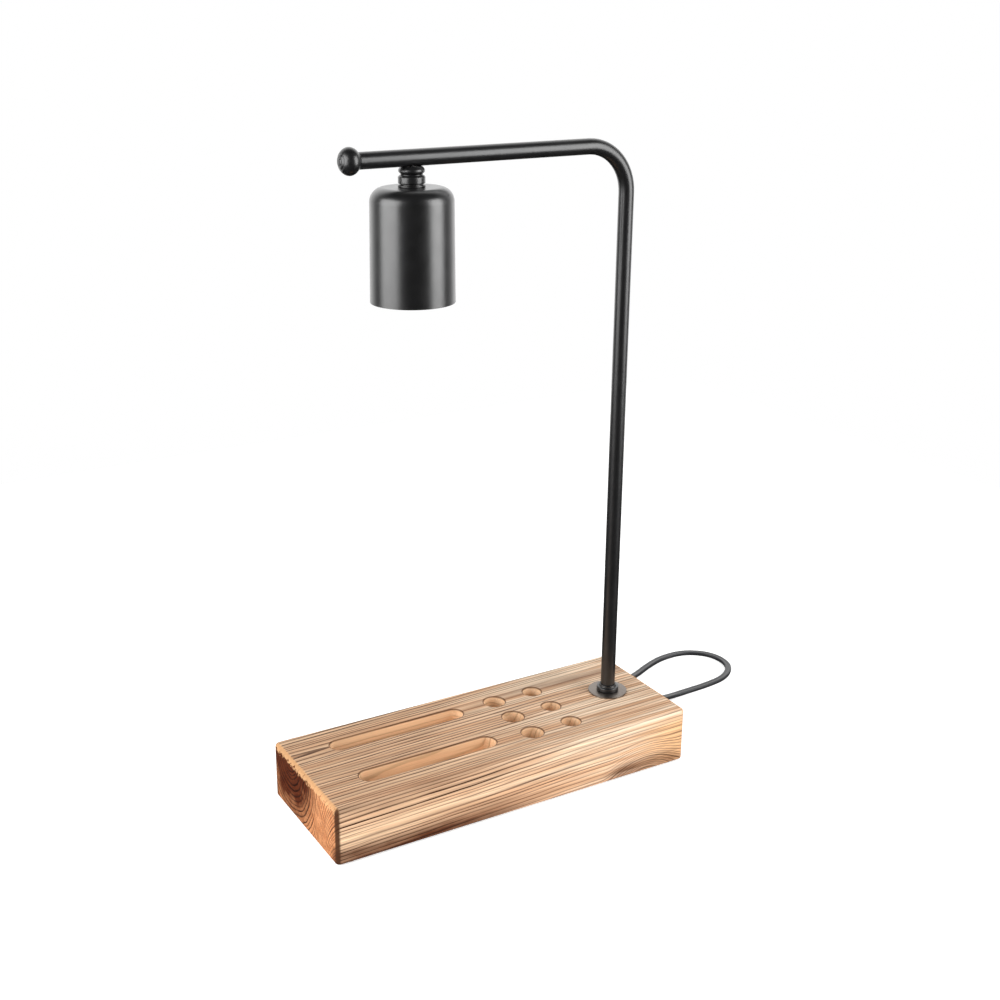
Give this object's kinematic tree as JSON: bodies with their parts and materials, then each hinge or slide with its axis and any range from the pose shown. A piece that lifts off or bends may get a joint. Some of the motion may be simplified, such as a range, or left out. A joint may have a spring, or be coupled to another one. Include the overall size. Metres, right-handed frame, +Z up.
{
  "type": "desk lamp with phone holder",
  "caption": "Desk lamp on a scorched pine block with phone slots and pen holes; a bent black tube carries a swivelling cup shade, and a flat lead has a rocker switch and plug.",
  "frame": {"origin": "middle of the block's footprint on the floor, level with the undersides of the felt pads", "axes": "+X along the block towards the stem, +Y to the back of the block, +Z up"},
  "size_m": [0.4223, 0.1591, 0.4596],
  "materials": {
    "pine": "brushed and scorched pine, waxed to a low sheen",
    "cover_board": "plain brown board",
    "felt": "pressed felt",
    "black_coat": "satin black paint on steel",
    "shade_coat": "fine-textured matt charcoal powder coat on steel",
    "zinc_steel": "bright zinc-plated steel",
    "brass": "plain brass",
    "pin_metal": "nickel-plated brass",
    "nylon": "natural nylon",
    "phenolic": "moulded black phenolic",
    "lead_jacket": "soft black jacket of a flat twin lead",
    "wire_jacket": "thin black insulation",
    "switch_plastic": "moulded black plastic with a fine grain",
    "rocker_plastic": "smooth black plastic",
    "tie_band": "flat black band"
  },
  "bodies": {
    "base": {"base_block": "pine", "base_cover": "cover_board", "cover_screws": "zinc_steel", "foot_pads": "felt", "stem_washer": "zinc_steel", "under_washer": "zinc_steel", "base_leads": "wire_jacket", "cord_cores": "wire_jacket", "terminal_block": "nylon", "terminal_screws": "zinc_steel", "block_screw": "zinc_steel", "cord_clamp": "nylon", "clamp_screws": "zinc_steel", "cord_inlet": "lead_jacket", "cord_lead": "lead_jacket", "switch_lower": "switch_plastic", "switch_upper": "switch_plastic", "switch_screws": "zinc_steel", "rocker_pin": "zinc_steel", "switch_contacts": "brass", "cord_hank": "lead_jacket", "hank_tie": "tie_band", "plug_body": "switch_plastic", "plug_pins": "pin_metal"},
    "arm": {"stem_tube": "black_coat", "stem_collar": "black_coat", "stem_nut": "zinc_steel", "ball_finial": "black_coat", "arm_boss": "black_coat", "swivel_stud": "zinc_steel", "friction_washer": "nylon", "arm_leads": "wire_jacket"},
    "shade": {"swivel_ring": "black_coat", "shade_nipple": "zinc_steel", "nipple_nut": "zinc_steel", "shade_cup": "shade_coat", "holder_cap": "phenolic", "holder_body": "phenolic", "holder_shell": "brass", "centre_contact": "brass", "side_contact": "brass", "holder_screws": "brass", "holder_leads": "wire_jacket"},
    "rocker": {"switch_rocker": "rocker_plastic"}
  },
  "joints": [
    {"name": "stem_swing", "type": "hinge", "parent": "base", "child": "arm", "pos_m": [0.1095, 0, 0.0435], "axis": [0, 0, 1], "range_deg": [-45, 45]},
    {"name": "shade_swivel", "type": "hinge", "parent": "arm", "child": "shade", "pos_m": [-0.055, 0, 0.4332], "axis": [0, 0, 1], "range_deg": [-170, 170]},
    {"name": "rocker_tilt", "type": "hinge", "parent": "base", "child": "rocker", "pos_m": [0.121, 0.068, 0.012], "axis": [0, 1, 0], "range_deg": [0, 16]}
  ]
}
